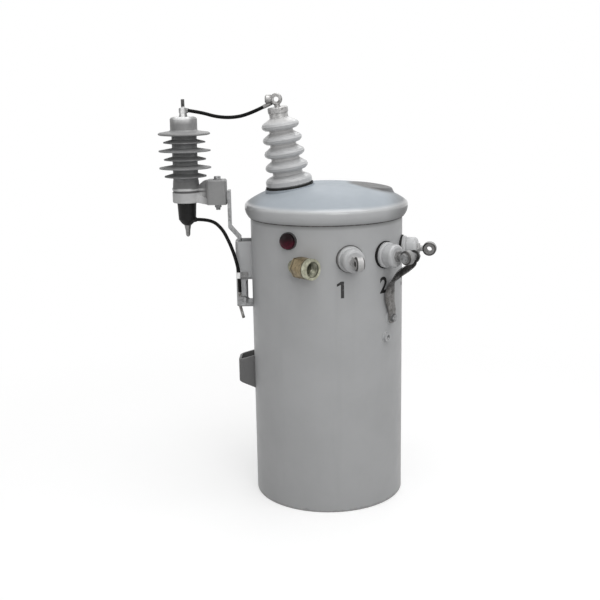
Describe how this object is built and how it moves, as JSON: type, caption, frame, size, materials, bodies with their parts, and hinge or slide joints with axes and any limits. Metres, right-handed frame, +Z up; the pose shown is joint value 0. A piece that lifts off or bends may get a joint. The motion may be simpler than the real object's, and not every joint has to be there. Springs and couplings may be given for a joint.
{
  "type": "pole mounted transformer",
  "caption": "Cylindrical oil-filled distribution transformer with a tilted high-voltage bushing, low-voltage side bushings, hanger lugs and a side-mounted surge arrester.",
  "frame": {"origin": "centre of the tank's flat base plate, on the tank axis", "axes": "+Z up along the tank axis; -Y towards the front, where the low-voltage bushings are; -X towards the pole, where the hanger lugs are"},
  "size_m": [0.6318, 0.4336, 0.94],
  "materials": {
    "arrester_dark": "silicone rubber, dark grey",
    "arrester_grey": "moulded polymer, light grey",
    "bar_steel": "hot-dip galvanised",
    "bracket_grey": "glass-filled polymer, grey",
    "brass": "cast brass, slightly tarnished",
    "cable_black": "satin black jacket",
    "copper_wire": "aged bare copper",
    "disconnector_black": "moulded black",
    "galvanised_steel": "hot-dip galvanised",
    "gasket_rubber": "matte black",
    "lens_red": "translucent red lens",
    "lug_steel": "darker grey finish",
    "porcelain": "glazed light grey porcelain",
    "strap_braid": "weathered tinned copper braid",
    "tank_paint": "semi-gloss light grey paint",
    "tinned_metal": "dull tinned bronze"
  },
  "bodies": {
    "root": {"arrester_bracket_bolt": "galvanised_steel", "arrester_cap": "arrester_grey", "arrester_disconnector": "disconnector_black", "arrester_housing": "arrester_dark", "arrester_insulating_bracket": "bracket_grey", "arrester_mounting_bar": "bar_steel", "arrester_terminal": "tinned_metal", "cover": "tank_paint", "cover_gasket": "gasket_rubber", "disconnector_stud": "galvanised_steel", "fitting_collar": "brass", "fitting_socket": "brass", "ground_boss": "tank_paint", "ground_connector": "galvanised_steel", "ground_lead": "cable_black", "ground_lead_clip": "galvanised_steel", "ground_pad": "tank_paint", "ground_strap": "strap_braid", "ground_strap_bolt": "galvanised_steel", "ground_wire_end": "copper_wire", "hv_bushing_cap": "tinned_metal", "hv_bushing_gasket": "gasket_rubber", "hv_bushing_porcelain": "porcelain", "hv_jumper_lead": "cable_black", "hv_terminal": "tinned_metal", "lower_hanger_lug": "lug_steel", "lv_bushing_1_gasket": "gasket_rubber", "lv_bushing_1_porcelain": "porcelain", "lv_bushing_1_terminal": "tinned_metal", "lv_bushing_2_gasket": "gasket_rubber", "lv_bushing_2_porcelain": "porcelain", "lv_bushing_2_terminal": "tinned_metal", "lv_bushing_3_gasket": "gasket_rubber", "lv_bushing_3_porcelain": "porcelain", "lv_bushing_3_terminal": "tinned_metal", "signal_light_bezel": "galvanised_steel", "signal_light_lens": "lens_red", "strap_top_bolt": "galvanised_steel", "strap_top_nut": "galvanised_steel", "tank_body": "tank_paint", "upper_hanger_lug": "tank_paint"}
  },
  "joints": []
}
